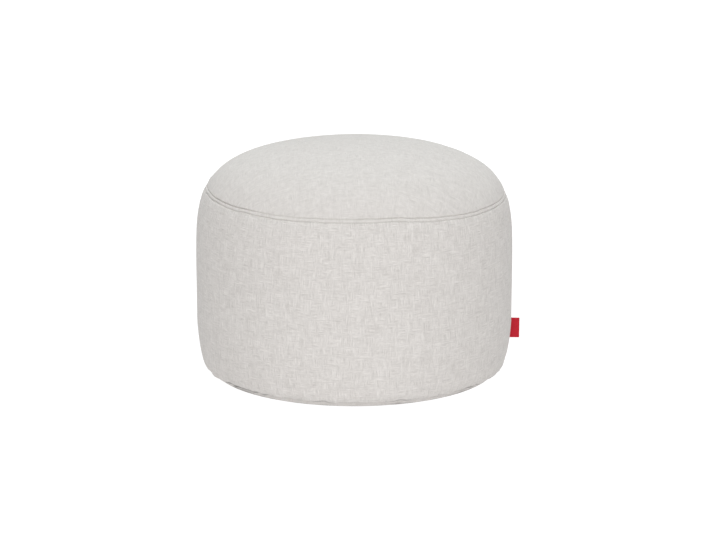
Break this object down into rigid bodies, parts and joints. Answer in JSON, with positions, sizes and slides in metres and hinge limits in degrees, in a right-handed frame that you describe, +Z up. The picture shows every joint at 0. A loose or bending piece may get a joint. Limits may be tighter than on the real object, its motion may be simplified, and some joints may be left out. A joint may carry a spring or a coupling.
{
  "type": "outdoor pouf",
  "caption": "Round, firmly filled outdoor pouf: crowned top panel with a twin-stitched seam, drawn-in side panel, flat base panel and a small folded label.",
  "frame": {"origin": "on the floor, at the middle of the flat base", "axes": "+Z up, the label and the side panel's closing seam at +X, the side seen in the picture towards -Y"},
  "size_m": [0.5123, 0.4985, 0.3665],
  "materials": {
    "cover_cloth": "matt woven melange",
    "label_cloth": "woven ribbon"
  },
  "bodies": {
    "root": {"side_panel": "cover_cloth", "top_panel": "cover_cloth", "base_panel": "cover_cloth", "label": "label_cloth"}
  },
  "joints": []
}
